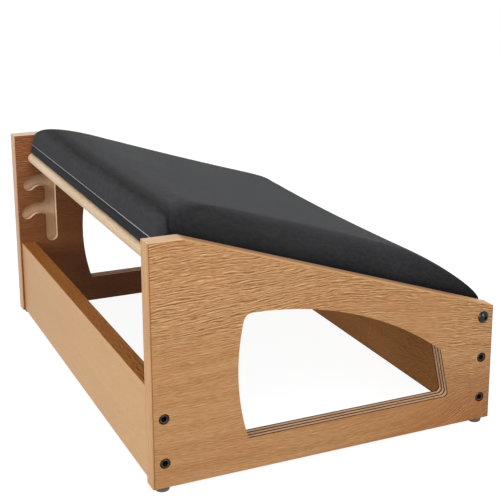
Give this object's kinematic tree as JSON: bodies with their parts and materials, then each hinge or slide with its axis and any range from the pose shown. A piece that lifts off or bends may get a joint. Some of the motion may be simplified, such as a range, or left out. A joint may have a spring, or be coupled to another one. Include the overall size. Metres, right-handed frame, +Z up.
{
  "type": "adjustable footrest",
  "caption": "Free-standing footrest with shaped wooden side panels, a cushioned pad hinged at its low heel end, and a loose rod that holds the toe end up in routed side hooks.",
  "frame": {"origin": "on the floor under the middle of the footprint", "axes": "+X towards the right-hand panel seen from the high toe end, -Y towards the high toe end, +Z up"},
  "size_m": [0.4776, 0.32, 0.2201],
  "materials": {
    "oak_panel": "oak-look face veneer, satin",
    "edging": "pale edging strip, satin",
    "rail_wood": "smooth pale veneer, satin",
    "rod_wood": "bare pale hardwood",
    "dowel_wood": "bare beech",
    "plywood": "bare plywood",
    "foam": "open-cell foam, hidden in the cover",
    "cover_fabric": "fine charcoal weave",
    "liner_fabric": "thin non-woven liner",
    "piping": "pale grey cord",
    "black_steel": "black oxide",
    "dome_steel": "polished black nickel",
    "zinc_steel": "zinc plated",
    "nylon": "black nylon",
    "foot_rubber": "grey rubber"
  },
  "bodies": {
    "frame": {"front_rail": "rail_wood", "rear_rail": "rail_wood", "frame_bolts": "black_steel", "barrel_nuts": "zinc_steel", "wood_dowels": "dowel_wood", "foot_screws": "zinc_steel", "side_panel_left": "oak_panel", "edging_left": "edging", "pivot_bushing_left": "nylon", "foot_front_left": "foot_rubber", "foot_rear_left": "foot_rubber", "side_panel_right": "oak_panel", "edging_right": "edging", "pivot_bushing_right": "nylon", "foot_front_right": "foot_rubber", "foot_rear_right": "foot_rubber"},
    "pad": {"pad_board": "plywood", "pad_foam": "foam", "pad_cover": "cover_fabric", "pad_piping": "piping", "pad_liner": "liner_fabric", "pivot_bolt_left": "dome_steel", "pivot_insert_left": "zinc_steel", "pivot_washer_left": "nylon", "pivot_bolt_right": "dome_steel", "pivot_insert_right": "zinc_steel", "pivot_washer_right": "nylon"},
    "rod": {"support_rod": "rod_wood"}
  },
  "joints": [
    {"name": "pad_tilt", "type": "hinge", "parent": "frame", "child": "pad", "pos_m": [0, 0.1495, 0.1022], "axis": [-1, 0, 0], "range_deg": [0, 100]},
    {"name": "rod_spin", "type": "hinge", "parent": "frame", "child": "rod", "pos_m": [0, -0.13896, 0.18165], "axis": [1, 0, 0], "continuous": true}
  ]
}
